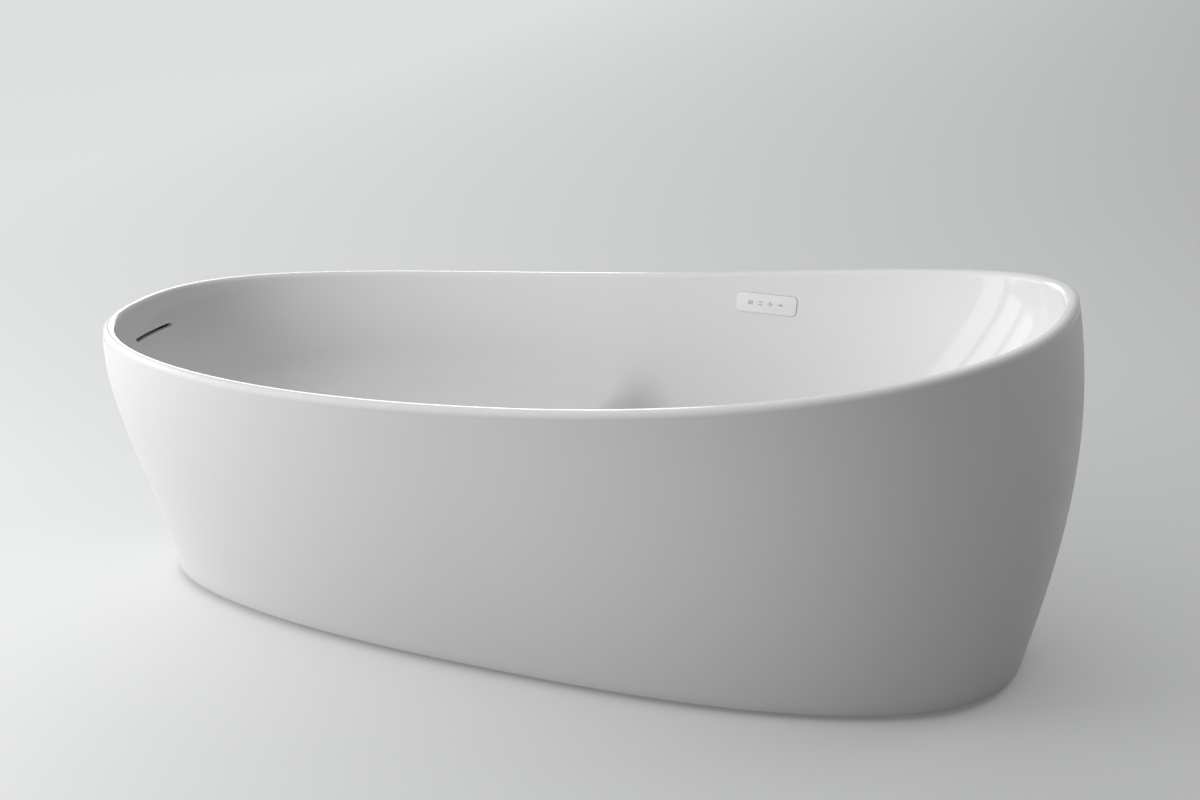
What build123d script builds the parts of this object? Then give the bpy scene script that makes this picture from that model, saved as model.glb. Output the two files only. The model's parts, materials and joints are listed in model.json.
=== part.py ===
from build123d import *
from math import cos, hypot, pi, radians, sin
import os

os.makedirs("parts", exist_ok=True)

# Frame: origin on the floor under the middle of the tub, +X to the head end,
# +Y to the side that carries the control panel, +Z up. Millimetres throughout.

# Overall size
LENGTH = 2200
WIDTH = 1050
HEIGHT = 790
SKIRT_GAP = 14

# Outer wall, one row per level: share of the height, how far the wall is tucked in
# at the head, the foot and each side, and how egg-shaped the outline is there
WALL_LEVELS = (
    (0.018, 89, 110, 151, 0.155),
    (0.253, 43, 76, 87, 0.126),
    (0.506, 9, 21, 41, 0.096),
    (0.759, 1, 4, 10, 0.065),
    (1.038, 29, 152, -36, 0.031),
)
OUTLINE_POWER = 2.45
OUTLINE_POINTS = 28
OUTLINE_STEPS = [step / OUTLINE_POINTS for step in range(OUTLINE_POINTS + 1)]
WALL_SECTIONS = 8
WALL_HEADROOM = 30

# Rim line seen from the side: heights of its four control points, foot to head
RIM_FOOT = HEIGHT - 161
RIM_DIP = HEIGHT - 184
RIM_RISE = HEIGHT - 144
RIM_HEAD = HEIGHT + 7
LIP_WIDTH = 28
LIP_ROUND = LIP_WIDTH * 3 / 7
SKIRT_ROUND = 3
RIM_BAND = 20

# Inside of the basin
SHELL = 10
APRON = 9
WELL_FLOOR = 125
PLATFORM = 385
PLATFORM_FALL = 20
KNEE_X = 8
KNEE_ROUND = 45
RISER_DRAFT = 35
HEEL_ROUND = (PLATFORM - WELL_FLOOR) / 2
COVE = HEEL_ROUND - 10
BACK_LEAN, BACK_BEND = 0.8, 150
FOOT_LEAN, FOOT_BEND = 1.6, 200
SIDE_LEAN, SIDE_BEND = 0.3, 300
SIDE_LEAN_START = 700

# Fits
SLIP = 0.05
SEAT_GAP = 0.3
SEAL = 2

# Waste
DRAIN_X = 225
DRAIN_TUBE = 24
DRAIN_FLANGE = 35
DRAIN_RECESS = 4
FLANGE_THICK = 3
PLUG_RADIUS = 31
PLUG_THICK = 5
PLUG_TRAVEL = 10
STEM_RADIUS = 4
STEM_PLAY = 0.08
DRAIN_BODY = 32
DRAIN_BODY_BOTTOM = 34
OVERFLOW_INLET_Z = 70
WASTE_Z = 52
TRAP_Y = 100
TRAP_RADIUS = 40
TRAP_SPIGOT = 28
WASTE_PIPE = 25
WASTE_DROP_X = -60
WASTE_END_Z = 3
OVERFLOW_PIPE = 16
PIPE_WALL = 2.5
PIPE_STEP = 0.5

# Overflow slot in the foot wall
SLOT_WIDTH = 146
SLOT_HEIGHT = 8
SLOT_Z = RIM_FOOT - 77
TRAY_MARGIN = 14
TRAY_WALL = 3
TRAY_DEEP = 95

# Control panel on the back wall
PANEL_X = 318
PANEL_Z = HEIGHT - 185
PANEL_WIDTH = 148
PANEL_TALL = 46
PANEL_THICK = 6
PANEL_CORNER = 5
PANEL_PROUD = 3.5
PANEL_SEAL = 1
HOUSING_WIDTH = 108
HOUSING_TALL = 26
HOUSING_DEEP = 15

# Frame, boards and feet
TUBE = 30
TUBE_WALL = 2
BOARD = 15
RAIL_Y = 185
BOARD_Y = 205
RAIL_INSET = 190
CROSS_TUBES = (-700, -430, -150, 330, 600)
FOOT_X = (-660, -60, 560)
UPRIGHT_X = (-640, -130)
STUD_RADIUS = 6
INSERT_RADIUS = 10
PAD_RADIUS = 28
PAD_THICK = 10
PAD_SOCKET = 6
FOOT_TRAVEL = 15
NUT_ACROSS = 19
NUT_THICK = 10
BRACKET_X = (-560, 60, 640)
BRACKET_WIDTH = 40
BRACKET_THICK = 3
SCREW_RADIUS = 2.5

# Massage and light
FITTING_Y = 110
FITTING_RING = 42
SUCTION_RADIUS = 28
LIGHT_RADIUS = 28
BODY_WALL = 3
JET_Y = 90
JET_Z = 330
JET_RADIUS = 18
JET_RING = 27
WATER_PIPE = 20
PUMP_X = -190
PUMP_Z = 190
TRAY_PLATE = 4
VOLUTE_RADIUS = 76
VOLUTE_WIDE = 50
VOLUTE_WALL = 4
MOTOR_RADIUS = 60
MOTOR_LENGTH = 170
SHAFT_RADIUS = 7
SHAFT_PLAY = 0.05
IMPELLER_RADIUS = 58
IMPELLER_BLADES = 7
CONTROL_BOX = (190, 120, 90)
CONTROL_BOX_X = -300

SHELL_FLOOR = WELL_FLOOR - SHELL
FRAME_TOP = SHELL_FLOOR - BOARD
FRAME_BOTTOM = FRAME_TOP - TUBE


def save(builder, name):
    builder.part.label = name
    export_step(builder.part, f"parts/{name}.step")


# Shape of the tub's walls
def wall_at(height):
    """The wall's reach to head, foot and side, and its egg, between the levels."""
    levels = [(SKIRT_GAP, *WALL_LEVELS[0][1:])]
    levels += [(share * HEIGHT, *rest) for share, *rest in WALL_LEVELS[1:]]
    blended = []
    for column in range(1, 5):
        total = 0
        for own in levels:
            weight = 1
            for other in levels:
                if other is not own:
                    weight *= (height - other[0]) / (own[0] - other[0])
            total += weight * own[column]
        blended.append(total)
    head, foot, side, egg = blended
    return LENGTH / 2 - head, LENGTH / 2 - foot, WIDTH / 2 - side, egg


def lean(depth, slope, bend):
    """How far a wall has come in at a depth, when it starts upright and bends to a slope."""
    return slope * (hypot(max(depth, 0), bend) - bend)


def egg_points(head, foot, side, egg):
    """A closed outline between an oval and a rectangle, wider towards the head.

    It starts at the middle of the +Y side, where the outline is flattest."""
    points = []
    for step in OUTLINE_STEPS[:-1]:
        turn = 2 * pi * (step + 0.25)
        u, v = cos(turn), sin(turn)
        reach = (abs(u) ** OUTLINE_POWER + abs(v) ** OUTLINE_POWER) ** (-1 / OUTLINE_POWER)
        along, across = reach * u, reach * v
        x = (head - foot) / 2 + (head + foot) / 2 * along
        points.append(Vector(x, side * across * (1 + egg * along)))
    return points


def wall_body(sections):
    """A smooth solid through closed outlines, given as height, head, foot, side, egg."""
    with BuildPart() as body:
        for height, *outline in sections:
            with BuildSketch(Plane.XY.offset(height)):
                with BuildLine():
                    points = egg_points(*outline)
                    add(Edge.make_spline(points, periodic=True, parameters=OUTLINE_STEPS))
                make_face()
        loft()
    return body.part


def heights_between(low, high):
    return [low + (high - low) * k / (WALL_SECTIONS - 1) for k in range(WALL_SECTIONS)]


def outside_sections(inset, low):
    rows = []
    for height in heights_between(low, HEIGHT + WALL_HEADROOM):
        head, foot, side, egg = wall_at(max(height, SKIRT_GAP))
        rows.append((height, head - inset, foot - inset, side - inset, egg))
    return rows


def inside_sections(grow):
    """The bather's side of the basin, or with grow its underside."""
    rows = []
    for height in heights_between(WELL_FLOOR - 20, HEIGHT + WALL_HEADROOM):
        head, foot, side, egg = wall_at(height)
        head -= LIP_WIDTH + lean(HEIGHT + 10 - height, BACK_LEAN, BACK_BEND) - grow
        foot -= LIP_WIDTH + lean(RIM_FOOT - height, FOOT_LEAN, FOOT_BEND) - grow
        side -= LIP_WIDTH + lean(SIDE_LEAN_START - height, SIDE_LEAN, SIDE_BEND) - grow
        rows.append((height, head, foot, side, egg))
    return rows


def above_rim(drop):
    """Everything above the rim line, lowered by drop."""
    reach, top, side = LENGTH / 2 + 100, HEIGHT + 400, WIDTH
    third = LENGTH / 3
    head_slope = (RIM_HEAD - RIM_RISE) / third
    foot_slope = (RIM_FOOT - RIM_DIP) / third
    with BuildPart() as body:
        with BuildSketch(Plane.XZ.offset(-side)):
            with BuildLine():
                rim = Bezier(
                    (-LENGTH / 2, RIM_FOOT - drop),
                    (-LENGTH / 2 + third, RIM_DIP - drop),
                    (LENGTH / 2 - third, RIM_RISE - drop),
                    (LENGTH / 2, RIM_HEAD - drop),
                )
                Polyline(
                    rim @ 1,
                    (reach, RIM_HEAD - drop + 100 * head_slope),
                    (reach, top),
                    (-reach, top),
                    (-reach, RIM_FOOT - drop + 100 * foot_slope),
                    rim @ 0,
                )
            make_face()
        extrude(amount=2 * side)
    return body.part


def platform_height(x):
    """The leg platform falls gently to the knee."""
    return PLATFORM + PLATFORM_FALL * (KNEE_X - x) / (LENGTH / 2 + KNEE_X)


def below_bather(grow):
    """The block under the leg platform, the riser behind the calves and the well floor."""
    reach, side = LENGTH, WIDTH
    knee = (KNEE_X - grow, platform_height(KNEE_X - grow) - grow)
    heel = (KNEE_X + RISER_DRAFT - grow, WELL_FLOOR - grow)
    with BuildPart() as body:
        with BuildSketch(Plane.XZ.offset(-side)):
            with BuildLine():
                Polyline(
                    (-reach, platform_height(-reach) - grow),
                    knee,
                    heel,
                    (reach, WELL_FLOOR - grow),
                    (reach, -HEIGHT),
                    (-reach, -HEIGHT),
                    close=True,
                )
            make_face()
        extrude(amount=2 * side)
        across = body.edges().filter_by(Axis.Y)
        fillet(across.sort_by_distance((knee[0], 0, knee[1]))[0], KNEE_ROUND - grow)
        across = body.edges().filter_by(Axis.Y)
        fillet(across.sort_by_distance((heel[0], 0, heel[1]))[0], HEEL_ROUND + grow)
    return body.part


def bathing_space(grow):
    """The air inside the basin, or with grow the space that the basin's underside wraps."""
    with BuildPart() as body:
        add(wall_body(inside_sections(grow)))
        add(below_bather(grow), mode=Mode.SUBTRACT)
        corner = body.edges().filter_by(Axis.Y, reverse=True).filter_by(
            lambda edge: edge.bounding_box().max.Z < HEIGHT
        )
        fillet(corner, COVE + grow)
    return body.part


inside = bathing_space(0)
underside = bathing_space(SHELL)
outer_wall = wall_body(outside_sections(0, SKIRT_GAP))
apron_core = wall_body(outside_sections(APRON, 0))
over_band = above_rim(RIM_BAND)
inside_wall = inside.faces().sort_by(SortBy.AREA)[-1]


def seat_on_wall(start, towards):
    """A plane on the bather's side of the wall, facing into the bath, its X level."""
    hits = inside_wall.find_intersection_points(Axis(start, towards))
    point, normal = max(hits, key=lambda hit: (hit[0] - Vector(*start)).dot(Vector(*towards)))
    facing = -normal if normal.dot(Vector(*towards)) > 0 else normal
    return Plane(origin=point, x_dir=facing.cross(Vector(0, 0, 1)) * -1, z_dir=facing)


def seat_on_riser(y):
    """A plane on the flat of the riser, facing the well, its X level."""
    drop = PLATFORM - WELL_FLOOR
    along = Vector(RISER_DRAFT, 0, -drop).normalized()
    middle = Vector(KNEE_X + RISER_DRAFT * 0.36, y, PLATFORM - drop * 0.36)
    return Plane(origin=middle, x_dir=(0, 1, 0), z_dir=Vector(0, 1, 0).cross(along) * -1)


panel_seat = seat_on_wall((PANEL_X, 0, PANEL_Z), (0, 1, 0))
jet_seats = [seat_on_wall((DRAIN_X, side * JET_Y, JET_Z), (1, 0, 0)) for side in (-1, 1)]
suction_seat = seat_on_riser(-FITTING_Y)
light_seat = seat_on_riser(FITTING_Y)
drain_seat = Plane((DRAIN_X, 0, WELL_FLOOR - DRAIN_RECESS))
panel_pocket = PANEL_THICK - PANEL_PROUD + PANEL_SEAL

# The basin: one moulding with its rim, pierced for the fittings
with BuildPart() as basin:
    add(outer_wall)
    add(over_band, mode=Mode.INTERSECT)
    add(underside)
    add(above_rim(0), mode=Mode.SUBTRACT)
    add(inside, mode=Mode.SUBTRACT)
    lip = basin.faces().filter_by(
        lambda face: face.bounding_box().min.Z > RIM_DIP - 60 and face.normal_at().Z > 0.7
    )
    fillet(lip.edges(), LIP_ROUND)
    # Drain recess and hole
    with BuildSketch(drain_seat):
        Circle(DRAIN_FLANGE + 1)
    extrude(amount=2 * DRAIN_RECESS, mode=Mode.SUBTRACT)
    with BuildSketch(drain_seat):
        Circle(DRAIN_TUBE + SEAT_GAP)
    extrude(amount=-2 * SHELL, mode=Mode.SUBTRACT)
    # Overflow slot
    with BuildSketch(Plane.YZ.offset(-LENGTH / 2 + 10)):
        with Locations((0, SLOT_Z)):
            SlotOverall(SLOT_WIDTH, SLOT_HEIGHT)
    extrude(amount=200, mode=Mode.SUBTRACT)
    # Flat pocket for the panel, and the hole behind it
    with BuildSketch(panel_seat.offset(-panel_pocket)):
        RectangleRounded(PANEL_WIDTH + 1, PANEL_TALL + 1, PANEL_CORNER)
    extrude(amount=2 * PANEL_THICK, mode=Mode.SUBTRACT)
    with BuildSketch(panel_seat):
        RectangleRounded(HOUSING_WIDTH + 1, HOUSING_TALL + 1, PANEL_CORNER)
    extrude(amount=-3 * SHELL, mode=Mode.SUBTRACT)
    # Holes for suction, light and jets
    for seat, radius in ((suction_seat, SUCTION_RADIUS), (light_seat, LIGHT_RADIUS)):
        with BuildSketch(seat):
            Circle(radius + SEAT_GAP)
        extrude(amount=3 * SHELL, both=True, mode=Mode.SUBTRACT)
    for seat in jet_seats:
        with BuildSketch(seat):
            Circle(JET_RADIUS + SEAT_GAP)
        extrude(amount=3 * SHELL, both=True, mode=Mode.SUBTRACT)
save(basin, "basin")

# The apron: the outer wall, open below, hung from the rim band
with BuildPart() as apron:
    add(outer_wall)
    add(above_rim(RIM_BAND + SEAT_GAP), mode=Mode.SUBTRACT)
    add(apron_core, mode=Mode.SUBTRACT)
    skirt_edges = apron.edges().group_by(Axis.Z)[0].sort_by(SortBy.LENGTH)
    fillet(skirt_edges[-1], SKIRT_ROUND)
save(apron, "apron")


# Small helpers for turned and tubular pieces
def disc(plane, low, high, radius, hole=0):
    """A round plate, rod or ring between two heights on a plane."""
    with BuildSketch(plane.offset(low)) as ring:
        Circle(radius)
        if hole:
            Circle(hole, mode=Mode.SUBTRACT)
    extrude(ring.sketch, amount=high - low)


def bore(plane, low, high, radius):
    """A round hole between two heights on a plane."""
    with BuildSketch(plane.offset(low)) as hole:
        Circle(radius)
    extrude(hole.sketch, amount=high - low, mode=Mode.SUBTRACT)


def pipe(points, radii, radius, wall):
    """A pipe along straight runs joined by tangent arcs."""
    with BuildPart() as run:
        with BuildLine() as route:
            if radii:
                FilletPolyline(*points, radius=radii)
            else:
                Line(*points)
        start = route.line
        with BuildSketch(Plane(origin=start @ 0, z_dir=start % 0)):
            Circle(radius)
            Circle(radius - wall, mode=Mode.SUBTRACT)
        sweep()
    return run


# Waste fittings in the well floor
drain_axis = Plane((DRAIN_X, 0, 0))
flange_low = WELL_FLOOR - FLANGE_THICK
tube_bore = DRAIN_TUBE - 3
tube_end = OVERFLOW_INLET_Z + OVERFLOW_PIPE + 3

with BuildPart() as drain_flange:
    disc(drain_axis, flange_low, WELL_FLOOR, DRAIN_FLANGE, tube_bore)
    fillet(drain_flange.edges().group_by(Axis.Z)[-1].sort_by(SortBy.LENGTH)[-1], 1.5)
    disc(drain_axis, tube_end, flange_low, DRAIN_TUBE, tube_bore)
save(drain_flange, "drain_flange")

with BuildPart() as drain_gasket:
    disc(drain_axis, WELL_FLOOR - DRAIN_RECESS, flange_low, DRAIN_FLANGE, DRAIN_TUBE + SLIP)
save(drain_gasket, "drain_gasket")

with BuildPart() as drain_washer:
    disc(drain_axis, SHELL_FLOOR - 3, SHELL_FLOOR, DRAIN_BODY + 8, DRAIN_TUBE + SLIP)
save(drain_washer, "drain_washer")

overflow_port = Plane((DRAIN_X, 0, OVERFLOW_INLET_Z), x_dir=(0, 1, 0), z_dir=(-1, 0, 0))
waste_port = Plane((DRAIN_X, 0, WASTE_Z), x_dir=(1, 0, 0), z_dir=(0, 1, 0))
overflow_socket = DRAIN_BODY + 30
waste_spigot = WASTE_Z - DRAIN_BODY_BOTTOM + 2
with BuildPart() as drain_body:
    disc(drain_axis, SHELL_FLOOR - 9, SHELL_FLOOR - 3, DRAIN_BODY + 8)
    disc(drain_axis, DRAIN_BODY_BOTTOM, SHELL_FLOOR - 9, DRAIN_BODY)
    disc(overflow_port, 0, overflow_socket, OVERFLOW_PIPE + 3)
    disc(waste_port, 0, TRAP_Y - TRAP_RADIUS + 6, waste_spigot)
    bore(drain_axis, DRAIN_BODY_BOTTOM + 3, SHELL_FLOOR, DRAIN_TUBE + SLIP)
    bore(overflow_port, 0, overflow_socket, OVERFLOW_PIPE - PIPE_WALL)
    bore(overflow_port, overflow_socket - 25, overflow_socket, OVERFLOW_PIPE + SLIP)
    bore(waste_port, 0, TRAP_Y, waste_spigot - 3)
save(drain_body, "drain_body")

with BuildPart() as popup_cartridge:
    disc(drain_axis, tube_end + 2, tube_end + 10, tube_bore - SLIP, tube_bore - 3)
    disc(drain_axis, tube_end - 6, tube_end + 16, STEM_RADIUS + 4)
    with BuildSketch(drain_axis.offset(tube_end + 2)):
        with PolarLocations(0, 3):
            with Locations((tube_bore / 2 - 1, 0)):
                Rectangle(tube_bore - 3, 3)
    extrude(amount=8)
    bore(drain_axis, 0, WELL_FLOOR, STEM_RADIUS + STEM_PLAY)
save(popup_cartridge, "popup_cartridge")

cap_low = WELL_FLOOR + SEAT_GAP
with BuildPart() as waste_plug:
    disc(drain_axis, cap_low, cap_low + PLUG_THICK, PLUG_RADIUS)
    fillet(waste_plug.edges().group_by(Axis.Z)[-1], PLUG_THICK - 1)
    disc(drain_axis, cap_low - 6, cap_low, tube_bore - 4)
    disc(drain_axis, tube_end - 10, cap_low - 6, STEM_RADIUS)
save(waste_plug, "waste_plug")

with BuildPart() as plug_seal:
    disc(drain_axis, cap_low - 5, cap_low - 2, tube_bore - SEAT_GAP, tube_bore - 4)
save(plug_seal, "plug_seal")

trap_axis = Plane((DRAIN_X, TRAP_Y, 0))
trap_outlet = Plane((DRAIN_X, TRAP_Y, WASTE_Z), x_dir=(0, 1, 0), z_dir=(-1, 0, 0))
trap_floor = WASTE_Z - WASTE_PIPE - 4
with BuildPart() as trap_body:
    disc(trap_axis, trap_floor, FRAME_TOP - 8, TRAP_RADIUS)
    disc(trap_outlet, 0, TRAP_RADIUS + TRAP_SPIGOT, WASTE_PIPE + BODY_WALL)
    bore(trap_axis, trap_floor + 3, FRAME_TOP - 11, TRAP_RADIUS - 3)
    bore(trap_outlet, 0, TRAP_RADIUS + TRAP_SPIGOT, WASTE_PIPE - PIPE_WALL)
    bore(trap_outlet, TRAP_RADIUS + 3, TRAP_RADIUS + TRAP_SPIGOT, WASTE_PIPE - PIPE_STEP + SLIP)
    bore(waste_port, 0, TRAP_Y, waste_spigot + SLIP)
save(trap_body, "trap_body")

# The outlet runs back from the trap and turns down to a socket in the floor
trap_face = DRAIN_X - TRAP_RADIUS - TRAP_SPIGOT
pipe_start = Plane((trap_face, TRAP_Y, WASTE_Z), x_dir=(0, 1, 0), z_dir=(-1, 0, 0))
pipe_run = trap_face - WASTE_DROP_X
drop_axis = Plane((WASTE_DROP_X, TRAP_Y, 0))
elbow_low = WASTE_Z - WASTE_PIPE - 2
waste_bore = WASTE_PIPE - PIPE_WALL
with BuildPart() as waste_pipe:
    disc(pipe_start, SEAT_GAP, pipe_run, WASTE_PIPE)
    disc(pipe_start, -20, SEAT_GAP, WASTE_PIPE - PIPE_STEP)
    disc(drop_axis, elbow_low, WASTE_Z + WASTE_PIPE + PIPE_WALL, WASTE_PIPE + BODY_WALL)
    disc(drop_axis, WASTE_END_Z, elbow_low, WASTE_PIPE)
    bore(pipe_start, -20, pipe_run, waste_bore)
    bore(drop_axis, WASTE_END_Z, WASTE_Z + waste_bore, waste_bore)
save(waste_pipe, "waste_pipe")

# Overflow: a tray bonded behind the slot, its seal, and the pipe to the drain body
sealed_wall = wall_body(inside_sections(SHELL + SEAL))
seal_front = wall_body(inside_sections(SHELL + SEAT_GAP))
bracket_core = wall_body(outside_sections(APRON + BRACKET_THICK, 0))
tray_core = wall_body(outside_sections(APRON + BRACKET_THICK + TRAY_WALL, 0))
tray_half = SLOT_WIDTH / 2 + TRAY_MARGIN
tray_top = SLOT_Z + SLOT_HEIGHT / 2 + TRAY_MARGIN
tray_low = SLOT_Z - TRAY_DEEP
tray_x = wall_at(tray_low)[1] - 60


def tray_block(margin):
    """The tray's box behind the foot wall, smaller by a margin on each side."""
    with BuildPart() as block:
        with BuildSketch(Plane.XY.offset(tray_low + margin)):
            with Locations((-LENGTH / 2 + 100, 0)):
                Rectangle(200, 2 * (tray_half - margin))
        extrude(amount=tray_top - tray_low - 2 * margin)
    return block.part


spigot_axis = Plane((-tray_x, 0, tray_low))
tray_front = wall_body(inside_sections(SHELL + SEAL + SEAT_GAP))
with BuildPart() as overflow_tray:
    add(tray_block(0))
    add(bracket_core, mode=Mode.INTERSECT)
    with BuildPart(mode=Mode.PRIVATE) as hollow:
        add(tray_block(TRAY_WALL))
        add(tray_core, mode=Mode.INTERSECT)
    add(tray_front, mode=Mode.SUBTRACT)
    add(hollow.part, mode=Mode.SUBTRACT)
    disc(spigot_axis, -25, TRAY_WALL, OVERFLOW_PIPE + 3)
    bore(spigot_axis, -25, -1, OVERFLOW_PIPE + SLIP)
    bore(spigot_axis, -25, TRAY_WALL, OVERFLOW_PIPE - PIPE_WALL)
save(overflow_tray, "overflow_tray")

with BuildPart() as overflow_seal:
    add(tray_block(0))
    add(tray_block(TRAY_WALL), mode=Mode.SUBTRACT)
    add(sealed_wall, mode=Mode.INTERSECT)
    add(seal_front, mode=Mode.SUBTRACT)
save(overflow_seal, "overflow_seal")

overflow_run = FRAME_TOP + OVERFLOW_PIPE + 9
overflow_pipe = pipe(
    [
        (-tray_x, 0, tray_low - 2),
        (-tray_x, 0, tray_low - 110),
        (-wall_at(overflow_run)[1] + 75, 0, overflow_run),
        (-110, 0, overflow_run),
        (10, 0, OVERFLOW_INLET_Z),
        (DRAIN_X - DRAIN_BODY - 8, 0, OVERFLOW_INLET_Z),
    ],
    [90, 70, 90, 90],
    OVERFLOW_PIPE,
    PIPE_WALL,
)
save(overflow_pipe, "overflow_pipe")

# Control panel: touch plate in its pocket, seal and housing
with BuildPart() as panel_plate:
    with BuildSketch(panel_seat.offset(PANEL_PROUD - PANEL_THICK)):
        RectangleRounded(PANEL_WIDTH, PANEL_TALL, PANEL_CORNER)
    extrude(amount=PANEL_THICK)
    fillet(panel_plate.faces().sort_by(lambda face: face.center().Y)[0].edges(), 1.2)
save(panel_plate, "panel_plate")

with BuildPart() as panel_seal:
    with BuildSketch(panel_seat.offset(-panel_pocket)):
        RectangleRounded(PANEL_WIDTH - 4, PANEL_TALL - 4, PANEL_CORNER)
        RectangleRounded(HOUSING_WIDTH + 2, HOUSING_TALL + 2, PANEL_CORNER, mode=Mode.SUBTRACT)
    extrude(amount=PANEL_SEAL)
save(panel_seal, "panel_seal")

with BuildPart() as panel_housing:
    with BuildSketch(panel_seat.offset(PANEL_PROUD - PANEL_THICK)):
        RectangleRounded(HOUSING_WIDTH, HOUSING_TALL, PANEL_CORNER)
    extrude(amount=-HOUSING_DEEP)
save(panel_housing, "panel_housing")

# Welded base frame with threaded inserts for the feet
rail_low_x, rail_high_x = CROSS_TUBES[0] - TUBE / 2, CROSS_TUBES[-1] + TUBE / 2
foot_places = [(x, side * RAIL_Y) for x in FOOT_X for side in (-1, 1)]
with BuildPart() as base_frame:
    for side in (-1, 1):
        with BuildSketch(Plane.YZ.offset(rail_low_x)):
            with Locations((side * RAIL_Y, FRAME_TOP - TUBE / 2)):
                Rectangle(TUBE, TUBE)
                Rectangle(TUBE - 2 * TUBE_WALL, TUBE - 2 * TUBE_WALL, mode=Mode.SUBTRACT)
        extrude(amount=rail_high_x - rail_low_x)
    for x in CROSS_TUBES:
        with BuildSketch(Plane.XZ.offset(-RAIL_Y + TUBE / 2)):
            with Locations((x, FRAME_TOP - TUBE / 2)):
                Rectangle(TUBE, TUBE)
                Rectangle(TUBE - 2 * TUBE_WALL, TUBE - 2 * TUBE_WALL, mode=Mode.SUBTRACT)
        extrude(amount=2 * RAIL_Y - TUBE)
    with BuildSketch(Plane.XY.offset(FRAME_BOTTOM)):
        with Locations(*foot_places):
            Circle(INSERT_RADIUS)
    extrude(amount=TUBE)
    with BuildSketch(Plane.XY.offset(FRAME_BOTTOM)):
        with Locations(*foot_places):
            Circle(STUD_RADIUS + SLIP)
    extrude(amount=TUBE, mode=Mode.SUBTRACT)
    bracket_places = [(x, side) for x in BRACKET_X for side in (-1, 1)]
    for x, side in bracket_places:
        with BuildSketch(Plane((x, side * RAIL_Y, FRAME_TOP - TUBE / 2), z_dir=(0, side, 0))):
            Circle(SCREW_RADIUS + SLIP)
        extrude(amount=TUBE, mode=Mode.SUBTRACT)
save(base_frame, "base_frame")

with BuildPart() as lock_nuts:
    with BuildSketch(Plane.XY.offset(FRAME_BOTTOM - NUT_THICK)):
        with Locations(*foot_places):
            RegularPolygon(NUT_ACROSS / 2, 6, major_radius=False)
            Circle(STUD_RADIUS + SLIP, mode=Mode.SUBTRACT)
    extrude(amount=NUT_THICK)
save(lock_nuts, "lock_nuts")

for number, place in enumerate(foot_places, start=1):
    foot_axis = Plane((*place, 0))
    with BuildPart() as foot_pad:
        disc(foot_axis, 0, PAD_THICK, PAD_RADIUS)
        fillet(foot_pad.edges().group_by(Axis.Z)[-1], 3)
        bore(foot_axis, PAD_THICK - PAD_SOCKET, PAD_THICK, STUD_RADIUS + SLIP)
    save(foot_pad, f"foot_pad_{number}")
    with BuildPart() as foot_stud:
        disc(foot_axis, PAD_THICK - PAD_SOCKET, FRAME_TOP - 2, STUD_RADIUS)
        with BuildSketch(foot_axis.offset(PAD_THICK)):
            RegularPolygon(NUT_ACROSS / 2 - 1, 6, major_radius=False)
        extrude(amount=PAD_THICK)
    save(foot_stud, f"foot_stud_{number}")

# Boards bonded under the well floor and the leg platform, and the uprights between
with BuildPart() as floor_board:
    board_low, board_high = KNEE_X + RISER_DRAFT + 30, rail_high_x
    with BuildSketch(Plane.XY.offset(FRAME_TOP)):
        with Locations(((board_low + board_high) / 2, 0)):
            Rectangle(board_high - board_low, 2 * BOARD_Y)
        with Locations((DRAIN_X, 0)):
            Circle(DRAIN_BODY + 14, mode=Mode.SUBTRACT)
    extrude(amount=BOARD)
save(floor_board, "floor_board")

board_ends = (rail_low_x + 10, KNEE_X - KNEE_ROUND - 30)


def under_platform(x, drop):
    return (x, platform_height(x) - SHELL - drop)


with BuildPart() as platform_board:
    with BuildSketch(Plane.XZ.offset(-BOARD_Y)):
        with BuildLine():
            Polyline(
                under_platform(board_ends[0], 0),
                under_platform(board_ends[1], 0),
                under_platform(board_ends[1], BOARD),
                under_platform(board_ends[0], BOARD),
                close=True,
            )
        make_face()
    extrude(amount=2 * BOARD_Y)
save(platform_board, "platform_board")

with BuildPart() as platform_uprights:
    with BuildSketch(Plane.XY.offset(FRAME_TOP)):
        with Locations(*[(x, side * RAIL_Y) for x in UPRIGHT_X for side in (-1, 1)]):
            Rectangle(TUBE, TUBE)
            Rectangle(TUBE - 2 * TUBE_WALL, TUBE - 2 * TUBE_WALL, mode=Mode.SUBTRACT)
    extrude(amount=PLATFORM)
    with BuildSketch(Plane.XZ.offset(-WIDTH / 2)):
        with BuildLine():
            Polyline(
                under_platform(-LENGTH / 2, BOARD),
                under_platform(KNEE_X, BOARD),
                (KNEE_X, 2 * HEIGHT),
                (-LENGTH / 2, 2 * HEIGHT),
                close=True,
            )
        make_face()
    extrude(amount=WIDTH, mode=Mode.SUBTRACT)
save(platform_uprights, "platform_uprights")

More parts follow.
